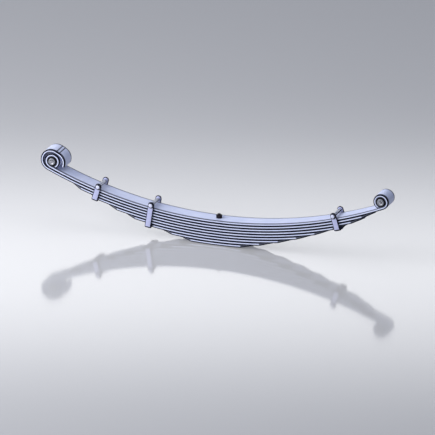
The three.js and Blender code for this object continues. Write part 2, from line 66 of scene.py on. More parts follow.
# The leaf pack.
LEAF_COUNT = 9
LEAF_WIDTH = 76.2
LEAF_THICKNESS = 11.1
GAP = 0.3
TOP_RADIUS = 1750
SEAT_LENGTH = 50
EYE_SPAN = 1370
LENGTH_STEP = 78
FRONT_EXTRA_LENGTH = 4
WRAPPER_REAR_LENGTH = 672
TRIM_LENGTH = 54
TRIM_DEPTH = 20.5
TIP_THICKNESS = 6.5
UPPER_ROUND = 2.6  # radius of the rolled upper edges
LOWER_ROUND = 3.2  # radius of the rolled lower edges
END_ROUND = 0.8  # radius of the sheared ends
END_FACE_INSET = 0.6  # a ring of faces this wide lies inside a sheared end's rounded edge
GROOVE_SHADE_ABOVE = 4.6  # the painted shade of the groove between leaves reaches this far up a side from the lower face
GROOVE_SHADE_BELOW = 1.9  # and this far down a side from the upper face
LOWER_SHADE_FADE = 0.4  # the first fades out over this height
UPPER_SHADE_FADE = 0.7  # and the second over this
EDGE_BORDER = 8  # width of the darkened border of a broad face
POINT_SPACING = 0.05  # the least height between two points of the section
LEAST_ROUND = 0.4  # radius of the edges where a thin tip leaves no room for more
CREASE_LENGTH = 0.6  # half the length of the crease where a trimmed tip begins
LEAF_NOISE_SHIFT = 40  # between the paint patterns of one leaf and the next

# How dark the parts of a leaf are, from 0 for clean paint to 1 for the painted shade in the groove
# between two leaves.
BORDER_DARK = 0.8
MAIN_EDGE_DARK = 0.85  # the upper edges of the main leaf
TRIM_SHADE = 0.78  # painted shade on the sides of a trimmed tip
END_DARK = 0.35  # the sheared ends

# The eyes.
EYE_BORE = 41.3
EYE_TURN = 309
WRAP_RADIUS = 39.8
WRAP_LEAD = 5.1
WRAP_FIRST_TURN = 185
WRAP_FLAT = 14
WRAP_SECOND_TURN = 85
BEND_MARK = 2.2  # width of the dark line that the bending die left at each end of the flat
BEND_MARK_FADE = 1.2  # and the width over which it fades

# The rubber bushes.
SHELL_WALL = 1.6
SHELL_ALLOWANCE = 0.1  # off the diameter, to clear the facets of the CAD model's eye
SHELL_LENGTH = 76.2
SLEEVE_DIAMETER = 27.5
SLEEVE_BORE = 16.3
SLEEVE_LENGTH = 89
RUBBER_LENGTH = 78
RUBBER_GROOVE = 4
SHELL_EDGE = 0.6  # radius of the shell's edges
RUBBER_EDGE = 0.9
RUBBER_LIP = 1  # width of the flat beside the groove
RUBBER_CHAMFER = 0.8
SLEEVE_EDGE = 0.4
SLEEVE_CHAMFER = 1.2

# The centre bolt.
CENTRE_BOLT_DIAMETER = 12.7
CENTRE_THREAD_PITCH = 1.27
CENTRE_HEAD_DIAMETER = 24
CENTRE_HEAD_RIM = 1
CENTRE_HEAD_DEPTH = 6.5
CENTRE_NUT_FLATS = 22.2
CENTRE_NUT_HEIGHT = 12.3
CENTRE_BOLT_STAND_OUT = 4.5

# The rebound clips.
STRAP_WIDTH = 25.4
STRAP_THICKNESS = 6.35
STRAP_BEND_RADIUS = 3
STRAP_ROUND = 3.0  # radius of the strap's edges
SHADE_RING_RADIUS = 13.5  # of the ring of painted shade round a bolt head
SHADE_RING_WOBBLE = 3  # how far the ring's edge strays
SHADE_RING_FADE = 0.8  # half the width over which it fades
CLIP_BOLT_RISE = 12.3
CLIP_BOLT_DIAMETER = 9.5
CLIP_THREAD_PITCH = 1.59
CLIP_BOLT_STAND_OUT = 3
CLIP_FLATS = 14.3
CLIP_HEAD_HEIGHT = 6.4
CLIP_NUT_HEIGHT = 8.3
SPACER_DIAMETER = 12.7
SPACER_EDGE = 0.5
RIVET_DIAMETER = 9.5
RIVET_HEAD_DIAMETER = 17
RIVET_HEAD_HEIGHT = 5.5
RIVET_FLARE_DIAMETER = 13
RIVET_FLARE_DEPTH = 3
HOLE_CLEARANCE = 0.6

# Nuts, bolt heads and threads.
HEX_CHAMFER_INSET = 0.2  # from the flats to the chamfer's inner edge
HEX_CHAMFER_ANGLE = 30
HEX_EDGE = 0.25
NUT_MOUTH = 0.7  # chamfer at each end of a nut's bore
THREAD_DEPTH = 0.55  # as a share of the pitch
THREAD_END_CHAMFER = 1.1  # as a share of the thread's depth

# Each clip: its name, how far along the main leaf it sits, and how many leaves it holds.
CLIPS = (
    ("clip_front_outer", -500, 4),
    ("clip_front_inner", -272, 7),
    ("clip_rear", 500, 4),
)

# How finely the meshes are divided.
LEAF_STEP = math.radians(0.5)
CURL_STEP = math.radians(4)
FACET_ALLOWANCE = 0.2  # off the outside of a curl, as the CAD model's facets are coarser
ROUND_STEPS = 5
LATHE_STEPS = 96
CLIP_STEPS = 64
HOLE_STEPS = 48
THREAD_STEPS = 40  # round the bolt
THREAD_ROWS = 8  # along the bolt, for each turn
SHARP_ANGLE = math.radians(32)
OVERRUN = 10  # how far a cutter reaches past what it cuts

# Sizes that follow from those.
LEAF_PITCH = LEAF_THICKNESS + GAP
EYE_RADIUS = EYE_BORE / 2
SEAT_ANGLE = math.asin(SEAT_LENGTH / 2 / TOP_RADIUS)
EYE_ANGLE = math.asin(EYE_SPAN / 2 / (TOP_RADIUS - EYE_RADIUS))
BOTTOM_RADIUS = TOP_RADIUS + LEAF_COUNT * LEAF_PITCH - GAP
ARC_CENTRE_HEIGHT = BOTTOM_RADIUS * math.cos(SEAT_ANGLE)
STRAP_INNER = LEAF_WIDTH / 2 + GAP
STRAP_OUTER = STRAP_INNER + STRAP_THICKNESS
SHELL_OUTER = EYE_BORE - 2 * GAP - SHELL_ALLOWANCE
SHELL_INNER = SHELL_OUTER - 2 * SHELL_WALL

# ----------------------------------------------------------------------
# Materials
# ----------------------------------------------------------------------


def new_material(name, roughness, metallic, **sockets):
    """A material with a Principled shader, and that shader. A texture may replace the roughness."""
    material = bpy.data.materials.new(name)
    material.use_nodes = True
    shader = material.node_tree.nodes["Principled BSDF"]
    shader.inputs["Roughness"].default_value = roughness
    shader.inputs["Metallic"].default_value = metallic
    for socket, value in sockets.items():
        shader.inputs[socket.replace("_", " ")].default_value = value
    return material, shader


def add_node(material, kind, **values):
    """A node of this kind, with its inputs or its settings set by name."""
    node = material.node_tree.nodes.new(kind)
    for name, value in values.items():
        if name in node.inputs:
            node.inputs[name].default_value = value
        else:
            setattr(node, name, value)
    return node


def link(material, output, target):
    material.node_tree.links.new(output, target)


def object_space(material):
    return add_node(material, "ShaderNodeTexCoord").outputs["Object"]


def unrolled_space(material):
    """The place on the leaf as if it were straight: along it, across it and through it."""
    return add_node(material, "ShaderNodeAttribute", attribute_name="unrolled").outputs["Vector"]


def stretched(material, space, scale):
    mapping = add_node(material, "ShaderNodeMapping", Scale=scale)
    link(material, space, mapping.inputs["Vector"])
    return mapping.outputs["Vector"]


def noise(material, space, scale, detail=4, roughness=0.55):
    texture = add_node(
        material, "ShaderNodeTexNoise", Scale=scale, Detail=detail, Roughness=roughness
    )
    link(material, space, texture.inputs["Vector"])
    return texture.outputs["Fac"]


def ramp(material, value, stops):
    """A colour ramp over value, from (position, colour) stops."""
    node = add_node(material, "ShaderNodeValToRGB")
    elements = node.color_ramp.elements
    while len(elements) < len(stops):
        elements.new(0.5)
    for element, (position, colour) in zip(elements, stops):
        element.position = position
        element.color = (*colour, 1)
    link(material, value, node.inputs["Fac"])
    return node.outputs["Color"]


def grey_ramp(material, value, low, high, start=0.3, end=0.7):
    return ramp(material, value, [(start, (low,) * 3), (end, (high,) * 3)])


def blend_colours(material, share, first, second, mode="MIX"):
    """Mixes two colours, each a socket or a plain colour. The share is a socket or a number."""
    node = add_node(material, "ShaderNodeMix", data_type="RGBA", blend_type=mode)
    for value, target in ((share, 0), (first, 6), (second, 7)):
        if isinstance(value, bpy.types.NodeSocket):
            link(material, value, node.inputs[target])
        elif target == 0:
            node.inputs[target].default_value = value
        else:
            node.inputs[target].default_value = (*value, 1)
    return node.outputs[2]


def multiply(material, first, second):
    node = add_node(material, "ShaderNodeMath", operation="MULTIPLY")
    link(material, first, node.inputs[0])
    link(material, second, node.inputs[1])
    return node.outputs[0]


def set_surface(material, shader, colour, texture, smooth, rough):
    """Sets the colour, and a roughness that varies with the texture between two values."""
    link(material, colour, shader.inputs["Base Color"])
    roughness = grey_ramp(material, texture, smooth, rough)
    link(material, roughness, shader.inputs["Roughness"])


def add_bump(material, shader, heights, strength, distance):
    """Bump from one or more heights, each made on top of the last."""
    previous = None
    for height in heights:
        bump = add_node(material, "ShaderNodeBump", Strength=strength, Distance=distance)
        link(material, height, bump.inputs["Height"])
        if previous is not None:
            link(material, previous, bump.inputs["Normal"])
        previous = bump.outputs["Normal"]
    link(material, previous, shader.inputs["Normal"])


PAINT_LIGHT = (0.73, 0.77, 0.96)
PAINT_DEEP = (0.54, 0.60, 0.84)
PAINT_WORN = (0.78, 0.82, 0.93)
# Painted shade for the grooves between the leaves, and the dark of the leaves' other marks.
SHADE_AND_MARK_DARK = (0.006, 0.007, 0.016)
CLIP_LIGHT = (0.52, 0.54, 0.77)
CLIP_DEEP = (0.43, 0.45, 0.70)
BOLT_LIGHT = (0.74, 0.77, 0.93)
BOLT_DEEP = (0.60, 0.63, 0.86)
# Painted shade round the clip bolts' heads.
SHADE_RING_DARK = (0.010, 0.011, 0.022)
# Dark scale, also the colour of painted shade on the straps' undersides and the spacers' lower
# halves.
SCALE_AND_SHADE_DARK = (0.012, 0.013, 0.028)
SCALE_RUBBED = (0.07, 0.075, 0.13)
OXIDE_BLACK = (0.012, 0.010, 0.016)
OXIDE_BROWN = (0.045, 0.025, 0.025)
RUBBER_BLACK = (0.007, 0.007, 0.010)
RUBBER_DUST = (0.024, 0.024, 0.028)


def leaf_paint():
    """Blue-grey enamel on rolled steel: rolling streaks, fine orange peel, and darkening from an
    attribute of the mesh. That darkening is painted shade in the grooves between leaves and on the
    trimmed tips, and dark marks on the ends, the edges and the bends, with small bright chips along
    them."""
    material, shader = new_material("leaf_paint", 0.38, 0.1)
    space = unrolled_space(material)
    streaks = noise(material, stretched(material, space, (4, 90, 90)), 3, 6)
    clouds = noise(material, space, 14, 3)
    colour = blend_colours(material, clouds, PAINT_LIGHT, PAINT_DEEP)
    tone = grey_ramp(material, streaks, 0.93, 1.0)
    colour = blend_colours(material, 1.0, colour, tone, "MULTIPLY")
    painted_shade_and_marks = add_node(material, "ShaderNodeAttribute", attribute_name="painted_shade_and_marks").outputs["Fac"]
    chips = grey_ramp(material, noise(material, space, 420, 5, 0.7), 0.0, 1.0, 0.60, 0.66)
    edge = grey_ramp(material, painted_shade_and_marks, 0.0, 1.0, 0.02, 0.25)
    worn = multiply(material, chips, edge)
    # Painted shade in the grooves between leaves and on the trimmed tips, and the dark marks, from
    # the mesh's attribute.
    colour = blend_colours(material, painted_shade_and_marks, colour, SHADE_AND_MARK_DARK)
    faint = grey_ramp(material, worn, 0.0, 0.12, 0.0, 1.0)
    colour = blend_colours(material, faint, colour, PAINT_WORN)
    set_surface(material, shader, colour, noise(material, space, 60, 4), 0.32, 0.46)
    # The specular level drops where the painted shade and the marks are.
    shine = grey_ramp(material, painted_shade_and_marks, 0.35, 0.05, 0.0, 1.0)
    link(material, shine, shader.inputs["Specular IOR Level"])
    peel = noise(material, space, 520, 2)
    add_bump(material, shader, [streaks, peel], 0.12, 0.0004)
    return material


def painted_shade_ring(material, space):
    """The mask of the painted shade round the bolt head: 1 on a strap's outer faces near the bolt,
    whose axis runs along Y, and 0 elsewhere.
    """
    shift = (0, 0, -CLIP_BOLT_RISE * MM)
    centred = add_node(material, "ShaderNodeMapping", Location=shift, Scale=(1, 0, 1))
    link(material, space, centred.inputs["Vector"])
    length = add_node(material, "ShaderNodeVectorMath", operation="LENGTH")
    link(material, centred.outputs["Vector"], length.inputs[0])
    wobble = noise(material, space, 240, 3)
    uneven = add_node(material, "ShaderNodeMath", operation="MULTIPLY_ADD")
    link(material, wobble, uneven.inputs[0])
    uneven.inputs[1].default_value = SHADE_RING_WOBBLE * MM
    link(material, length.outputs["Value"], uneven.inputs[2])
    reach = add_node(material, "ShaderNodeMapRange")
    edge = SHADE_RING_RADIUS + SHADE_RING_WOBBLE / 2  # the wobble adds half of its size on average
    reach.inputs["From Min"].default_value = (edge - SHADE_RING_FADE) * MM
    reach.inputs["From Max"].default_value = (edge + SHADE_RING_FADE) * MM
    reach.inputs["To Min"].default_value = 1
    reach.inputs["To Max"].default_value = 0
    link(material, uneven.outputs[0], reach.inputs["Value"])
    axes = add_node(material, "ShaderNodeSeparateXYZ")
    link(material, space, axes.inputs[0])
    across = add_node(material, "ShaderNodeMath", operation="ABSOLUTE")
    link(material, axes.outputs["Y"], across.inputs[0])
    outer = add_node(material, "ShaderNodeMath", operation="GREATER_THAN")
    link(material, across.outputs[0], outer.inputs[0])
    outer.inputs[1].default_value = (STRAP_INNER + STRAP_OUTER) / 2 * MM
    return multiply(material, reach.outputs["Result"], outer.outputs[0])


def clip_paint(name, light, deep, has_shade_ring=False):
    """The enamel on the clips and their bolts, with its grain in three dimensions, and, if asked, a
    ring of painted shade round the bolt head.
    """
    material, shader = new_material(name, 0.4, 0.1, Coat_Weight=0.12, Coat_Roughness=0.3)
    space = object_space(material)
    clouds = noise(material, space, 60, 4)
    colour = blend_colours(material, clouds, light, deep)
    specks = grey_ramp(material, noise(material, space, 700, 4, 0.7), 0.9, 1.0, 0.4, 0.6)
    colour = blend_colours(material, 1.0, colour, specks, "MULTIPLY")
    if has_shade_ring:
        # A ring of painted shade round the bolt head.
        colour = blend_colours(material, painted_shade_ring(material, space), colour, SHADE_RING_DARK)
    set_surface(material, shader, colour, noise(material, space, 160, 4), 0.34, 0.5)
    add_bump(material, shader, [noise(material, space, 900, 3)], 0.15, 0.0003)
    return material


def scale_and_painted_shade():
    """The dark scale on cut edges and bolt flats, rubbed through here and there. It also serves as
    painted shade on the straps' undersides and the spacers' lower halves.
    """
    material, shader = new_material("scale_and_painted_shade", 0.5, 0.3, Specular_IOR_Level=0.15)
    space = object_space(material)
    rubbed = grey_ramp(material, noise(material, space, 380, 5, 0.7), 0.0, 1.0, 0.58, 0.7)
    colour = blend_colours(material, rubbed, SCALE_AND_SHADE_DARK, SCALE_RUBBED)
    set_surface(material, shader, colour, noise(material, space, 200, 4), 0.42, 0.6)
    add_bump(material, shader, [noise(material, space, 600, 4)], 0.25, 0.0003)
    return material


def black_oxide():
    """Oiled black steel, with a brown bloom in places and a fine grain."""
    material, shader = new_material("black_oxide", 0.42, 0.75)
    space = object_space(material)
    bloom = grey_ramp(material, noise(material, space, 220, 5), 0.0, 1.0, 0.5, 0.75)
    colour = blend_colours(material, bloom, OXIDE_BLACK, OXIDE_BROWN)
    set_surface(material, shader, colour, noise(material, space, 500, 4), 0.34, 0.55)
    add_bump(material, shader, [noise(material, space, 1200, 3)], 0.2, 0.0002)
    return material


def moulded_rubber():
    """Black rubber with a dusty bloom and a fine moulded grain."""
    material, shader = new_material("moulded_rubber", 0.75, 0.0, Specular_IOR_Level=0.15)
    space = object_space(material)
    dust = grey_ramp(material, noise(material, space, 130, 5), 0.0, 1.0, 0.45, 0.8)
    colour = blend_colours(material, dust, RUBBER_BLACK, RUBBER_DUST)
    set_surface(material, shader, colour, noise(material, space, 300, 4), 0.62, 0.85)
    add_bump(material, shader, [noise(material, space, 1600, 3)], 0.3, 0.0003)
    return material


def turned_steel(name, light, dark, metallic):
    """Steel with the fine rings that a lathe leaves round the piece's own axis, which is Y."""
    material, shader = new_material(name, 0.36, metallic)
    space = object_space(material)
    rings = add_node(
        material,
        "ShaderNodeTexWave",
        wave_type="RINGS",
        rings_direction="Y",
        Scale=420,
        Distortion=0.6,
        Detail=2,
    )
    link(material, space, rings.inputs["Vector"])
    tone = noise(material, space, 150, 4)
    colour = blend_colours(material, tone, light, dark)
    set_surface(material, shader, colour, noise(material, space, 260, 4), 0.28, 0.48)
    add_bump(material, shader, [rings.outputs["Fac"]], 0.12, 0.0001)
    return material


LEAF_PAINT = leaf_paint()
CLIP_PAINT = clip_paint("clip_paint", CLIP_LIGHT, CLIP_DEEP, has_shade_ring=True)
BOLT_PAINT = clip_paint("bolt_paint", BOLT_LIGHT, BOLT_DEEP)
SCALE_AND_PAINTED_SHADE = scale_and_painted_shade()
BLACK_OXIDE = black_oxide()
MOULDED_RUBBER = moulded_rubber()
SLEEVE_STEEL = turned_steel("sleeve_steel", (0.30, 0.31, 0.35), (0.20, 0.21, 0.24), 0.4)
SPACER_STEEL = turned_steel("spacer_steel", (0.80, 0.82, 0.88), (0.68, 0.70, 0.78), 1.0)
# Painted light: the bore's wall is far paler than the sleeve, so that the inside of the bore looks
# lit.
BORE_PAINTED_LIGHT = turned_steel("bore_painted_light", (0.92, 0.92, 0.95), (0.80, 0.80, 0.84), 0.1)
SHELL_STEEL = turned_steel("shell_steel", (0.05, 0.05, 0.065), (0.03, 0.03, 0.04), 0.85)

# ----------------------------------------------------------------------
# Mesh tools
# ----------------------------------------------------------------------


def link_object(name, mesh):
    piece = bpy.data.objects.new(name, mesh)
    bpy.context.scene.collection.objects.link(piece)
    return piece


def from_bmesh(name, bm):
    """An object in millimetres from a bmesh, which is used up."""
    bmesh.ops.recalc_face_normals(bm, faces=bm.faces)
    mesh = bpy.data.meshes.new(name)
    bm.to_mesh(mesh)
    bm.free()
    return link_object(name, mesh)


def bake_modifiers(piece):
    """Puts the effect of the piece's modifiers in its mesh."""
    bpy.context.view_layer.update()
    graph = bpy.context.evaluated_depsgraph_get()
    mesh = bpy.data.meshes.new_from_object(piece.evaluated_get(graph))
    piece.modifiers.clear()
    piece.data = mesh


def combine(piece, tool, operation):
    """Cuts, joins or intersects a piece with a tool, which is used up."""
    modifier = piece.modifiers.new("combine", "BOOLEAN")
    modifier.operation = operation
    modifier.solver = "EXACT"
    modifier.object = tool
    bake_modifiers(piece)
    bpy.data.objects.remove(tool)


def cut(piece, *tools):
    for tool in tools:
        combine(piece, tool, "DIFFERENCE")
    return piece


def round_edges(piece, radius, segments, material_index=-1, clamp=True):
    """Rounds the sharp edges, in the material at this index or, at -1, in their own."""
    modifier = piece.modifiers.new("round", "BEVEL")
    modifier.width = radius
    modifier.segments = segments
    modifier.limit_method = "ANGLE"
    modifier.angle_limit = math.radians(40)
    modifier.material = material_index
    modifier.use_clamp_overlap = clamp
    bake_modifiers(piece)
    return piece


def lathe(name, profile, steps=LATHE_STEPS):
    """Turns a profile of (radius, height) points about Z. It closes on itself or on the axis."""
    bm = bmesh.new()
    rings = []
    for radius, height in profile:
        if radius == 0:
            rings.append([bm.verts.new((0, 0, height))])
            continue
        angles = [2 * math.pi * step / steps for step in range(steps)]
        rings.append([
            bm.verts.new((radius * math.cos(a), radius * math.sin(a), height)) for a in angles
        ])
    closed = len(rings[0]) > 1
    pairs = list(zip(rings, rings[1:])) + ([(rings[-1], rings[0])] if closed else [])
    for first, second in pairs:
        for step in range(steps):
            after = (step + 1) % steps
            corners = [
                first[step % len(first)],
                first[after % len(first)],
                second[after % len(second)],
                second[step % len(second)],
            ]
            corners = list(dict.fromkeys(corners))
            if len(corners) > 2:
                bm.faces.new(corners)
    return from_bmesh(name, bm)


def rounded_profile(points, radius, steps=3):
    """The closed profile through these points with each corner rounded."""
    rounded = []
    count = len(points)
    for index, point in enumerate(points):
        corner = Vector(point)
        before = Vector(points[index - 1]) - corner
        after = Vector(points[(index + 1) % count]) - corner
        reach = min(radius, before.length / 2.5, after.length / 2.5)
        start = corner + before.normalized() * reach
        end = corner + after.normalized() * reach
        for step in range(steps + 1):
            share = step / steps
            near_start = start.lerp(corner, share)
            near_end = corner.lerp(end, share)
            rounded.append(tuple(near_start.lerp(near_end, share)))
    return rounded


def prism(name, outline, low, high):
    """Extrudes an outline of (x, y) points from one height to another."""
    bm = bmesh.new()
    bottom = [bm.verts.new((x, y, low)) for x, y in outline]
    top = [bm.verts.new((x, y, high)) for x, y in outline]
    bm.faces.new(bottom[::-1])
    bm.faces.new(top)
    count = len(outline)
    for index in range(count):
        after = (index + 1) % count
        bm.faces.new((bottom[index], bottom[after], top[after], top[index]))
    return from_bmesh(name, bm)


def hole_cutter(radius, low, high):
    return lathe("hole", [(0, low), (radius, low), (radius, high), (0, high)], HOLE_STEPS)


def threaded_rod(name, radius, low, thread_low, high, pitch):
    """A rod along Z with a real helical thread from thread_low up to its chamfered end."""
    depth = THREAD_DEPTH * pitch
    chamfer = THREAD_END_CHAMFER * depth
    bm = bmesh.new()
    row_height = pitch / THREAD_ROWS
    heights = [low]
    height = thread_low
    while height < high - row_height / 2:
        heights.append(height)
        height += row_height
    heights.append(high)
    rings = []
    for height in heights:
        ring = []
        fade = min(1, max(0, (height - thread_low) / pitch))
        limit = radius - max(0, height - (high - chamfer))
        for step in range(THREAD_STEPS):
            turn = step / THREAD_STEPS
            phase = (height / pitch - turn) % 1
            # Two sloping flanks, with a narrow flat at the root and at the crest.
            flank = min(1, max(0, 1.25 * abs(2 * phase - 1) - 0.125))
            reach = min(radius - depth * (1 - flank) * fade, limit)
            angle = 2 * math.pi * turn
            ring.append(bm.verts.new((reach * math.cos(angle), reach * math.sin(angle), height)))
        rings.append(ring)
    for lower, upper in zip(rings, rings[1:]):
        for step in range(THREAD_STEPS):
            after = (step + 1) % THREAD_STEPS
            bm.faces.new((lower[step], lower[after], upper[after], upper[step]))
    bm.faces.new(rings[0][::-1])
    bm.faces.new(rings[-1])
    return from_bmesh(name, bm)


def hexagon(name, flats, height, chamfer_low, chamfer_high):
    """A hexagonal prism on Z = 0 with its corners turned down at the chosen ends."""
    corner = flats / math.sqrt(3)
    flat = flats / 2 - HEX_CHAMFER_INSET
    angles = [math.pi / 3 * side for side in range(6)]
    piece = prism(name, [(corner * math.cos(a), corner * math.sin(a)) for a in angles], 0, height)
    wide = corner + 1
    drop = (wide - flat) * math.tan(math.radians(HEX_CHAMFER_ANGLE))
    low = [(flat, 0), (wide, drop)] if chamfer_low else [(wide, 0)]
    high = [(wide, height - drop), (flat, height)] if chamfer_high else [(wide, height)]
    turned = lathe("turned", [(0, 0), *low, *high, (0, height)])
    combine(piece, turned, "INTERSECT")
    return round_edges(piece, HEX_EDGE, 2)


def hex_nut(name, flats, height, bolt_diameter):
    piece = hexagon(name, flats, height, True, True)
    radius = (bolt_diameter + HOLE_CLEARANCE) / 2
    bore = lathe("bore", [
        (0, -1),
        (radius + NUT_MOUTH + 1, -1),
        (radius, NUT_MOUTH),
        (radius, height - NUT_MOUTH),
        (radius + NUT_MOUTH + 1, height + 1),
        (0, height + 1),
    ])
    return cut(piece, bore)


def use_two_materials(piece, first, second, takes_second):
    """Gives the faces that takes_second picks the second material, and the others the first."""
    piece.data.materials.clear()
    piece.data.materials.append(first)
    piece.data.materials.append(second)
    for face in piece.data.polygons:
        face.material_index = 1 if takes_second(face) else 0


def finish_piece(piece, node, body, material=None, place=None):
    """Turns a piece in millimetres into metres, puts it in its place and stands it in for its
    CAD node. The place is the frame in millimetres that the piece was made in, and it stays the
    object's own. A piece that has materials already is given no other."""
    piece.data.transform(Matrix.Scale(MM, 4))
    if place is not None:
        turn = place.to_3x3().to_4x4()
        piece.matrix_world = Matrix.Translation(place.translation * MM) @ turn
        bpy.context.view_layer.update()
    if len(piece.data.materials) == 0:
        piece.data.materials.append(material)
    piece.data.shade_smooth()
    piece.data.set_sharp_from_angle(angle=SHARP_ANGLE)
    piece.name = f"fine_{node}"
    piece.data.name = piece.name
    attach(piece, body)
    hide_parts(node)


# ----------------------------------------------------------------------
# The arc that all the leaves share
# ----------------------------------------------------------------------


def down_direction(angle):
    return Vector((math.sin(angle), -math.cos(angle)))


def along_direction(angle):
    return Vector((math.cos(angle), math.sin(angle)))


def arc_point(angle, radius):
    return Vector((0, ARC_CENTRE_HEIGHT)) + down_direction(angle) * radius


def middle_radius(leaf):
    return TOP_RADIUS + (leaf - 1) * LEAF_PITCH + LEAF_THICKNESS / 2


def clip_frame(along):
    """The frame of a clip: Z = 0 on the main leaf's upper face, X along the leaf."""
    angle = along / TOP_RADIUS
    origin = arc_point(angle, TOP_RADIUS)
    return Matrix.Translation((origin.x, 0, origin.y)) @ Matrix.Rotation(-angle, 4, "Y")


def eye_centre(end):
    centre = arc_point(end * EYE_ANGLE, TOP_RADIUS - EYE_RADIUS)
    return Vector((centre.x, 0, centre.y))


# ----------------------------------------------------------------------
# Leaves: a rounded section carried along stations
# ----------------------------------------------------------------------


def station(centre, radius, angle, share=0.0, inset=0.0, mark=0.0):
    """One place along a leaf. The share runs from 0 to 1 over a trimmed tip, the inset shrinks
    the section where an end is rounded, and the mark is a line that a bending die left."""
    return {
        "point": centre + down_direction(angle) * radius,
        "angle": angle,
        "thickness": LEAF_THICKNESS + (TIP_THICKNESS - LEAF_THICKNESS) * share,
        "half_width": LEAF_WIDTH / 2 - TRIM_DEPTH * share,
        "trimmed": share > 0,
        "inset": inset,
        "mark": mark,
    }


def arc_stations(centre, radius, start, end, step, trim_from=None):
    """Stations after start up to end. A tip is trimmed from the angle trim_from."""
    count = max(1, math.ceil(abs(end - start) / step))
    angles = [start + (end - start) * index / count for index in range(1, count + 1)]
    if trim_from is None:
        return [station(centre, radius, angle) for angle in angles]
    return [
        station(centre, radius, angle, max(0, (angle - trim_from) / (end - trim_from)))
        for angle in angles
    ]


def rounded_end(stations, centre, radius, trimmed):
    """Replaces the last station with those of a rounded, sheared end."""
    last = stations.pop()
    end = last["angle"]
    rings = [(2 * END_ROUND, 0)]
    for index in range(4):
        angle = math.radians(30 * index)
        rings.append((END_ROUND * (1 - math.sin(angle)), END_ROUND * (1 - math.cos(angle))))
    rings.append((0, END_ROUND + END_FACE_INSET))
    for back, inset in rings:
        share = 1 - back / TRIM_LENGTH if trimmed else 0
        stations.append(station(centre, radius, end - back / radius, share, inset))
    return stations


def shared_arc(leaf, end_angle):
    centre = Vector((0, ARC_CENTRE_HEIGHT))
    radius = middle_radius(leaf)
    seat = station(centre, radius, SEAT_ANGLE)
    return [seat, *arc_stations(centre, radius, SEAT_ANGLE, end_angle, LEAF_STEP)]


def keep_inside(stations):
    """Thins a curl from the outside, so that it stays within the CAD model's facets."""
    for place in stations:
        place["thickness"] -= FACET_ALLOWANCE
        place["point"] = place["point"] - down_direction(place["angle"]) * FACET_ALLOWANCE / 2
    return stations


def eye_half():
    stations = shared_arc(1, EYE_ANGLE)
    centre = arc_point(EYE_ANGLE, TOP_RADIUS - EYE_RADIUS)
    radius = EYE_RADIUS + LEAF_THICKNESS / 2
    end = EYE_ANGLE + math.radians(EYE_TURN)
    stations += keep_inside(arc_stations(centre, radius, EYE_ANGLE, end, CURL_STEP))
    return rounded_end(stations, centre, radius, False)


def wrapper_half():
    start = EYE_ANGLE + WRAP_LEAD / middle_radius(2)
    middle = start + math.radians(WRAP_FIRST_TURN)
    end = middle + math.radians(WRAP_SECOND_TURN)
    first = arc_point(start, middle_radius(2) - WRAP_RADIUS)
    stations = shared_arc(2, start)
    curl = arc_stations(first, WRAP_RADIUS, start, middle, CURL_STEP)[:-1]
    marks = ((0, 1.0), (BEND_MARK, 1.0), (BEND_MARK + BEND_MARK_FADE, 0.0))
    marks += tuple((WRAP_FLAT - place, mark) for place, mark in reversed(marks))
    for along_flat, mark in marks:
        centre = first + along_direction(middle) * along_flat
        curl.append(station(centre, WRAP_RADIUS, middle, mark=mark))
    second = first + along_direction(middle) * WRAP_FLAT
    curl += arc_stations(second, WRAP_RADIUS, middle, end, CURL_STEP)
    stations += keep_inside(curl)
    return rounded_end(stations, second, WRAP_RADIUS, False)


def half_length(leaf, end):
    if leaf == 2:
        return WRAPPER_REAR_LENGTH
    length = LENGTH_STEP * (LEAF_COUNT + 2 - leaf)
    return length + FRONT_EXTRA_LENGTH if end < 0 else length


def plain_half(leaf, end):
    radius = middle_radius(leaf)
    centre = Vector((0, ARC_CENTRE_HEIGHT))
    end_angle = half_length(leaf, end) / radius
    trim_angle = end_angle - TRIM_LENGTH / radius
    crease = CREASE_LENGTH / radius
    stations = shared_arc(leaf, trim_angle - crease)
    stations.append(station(centre, radius, trim_angle))
    tip = arc_stations(centre, radius, trim_angle + crease, end_angle, LEAF_STEP, trim_angle)
    stations.append(station(centre, radius, trim_angle + crease, crease * radius / TRIM_LENGTH))
    stations += tip
    return rounded_end(stations, centre, radius, True)


def mirrored(stations):
    """The same stations on the front half."""
    result = []
    for place in stations:
        x, z = place["point"]
        result.append({**place, "point": Vector((-x, z)), "angle": -place["angle"]})
    return result


def corner_points(across, below, radius, start):
    """Points of a quarter round from the angle start: how far across and how far below."""
    points = []
    for step in range(ROUND_STEPS + 1):
        angle = math.radians(start + 90 * step / ROUND_STEPS)
        points.append((across + radius * math.cos(angle), below + radius * math.sin(angle)))
    return points


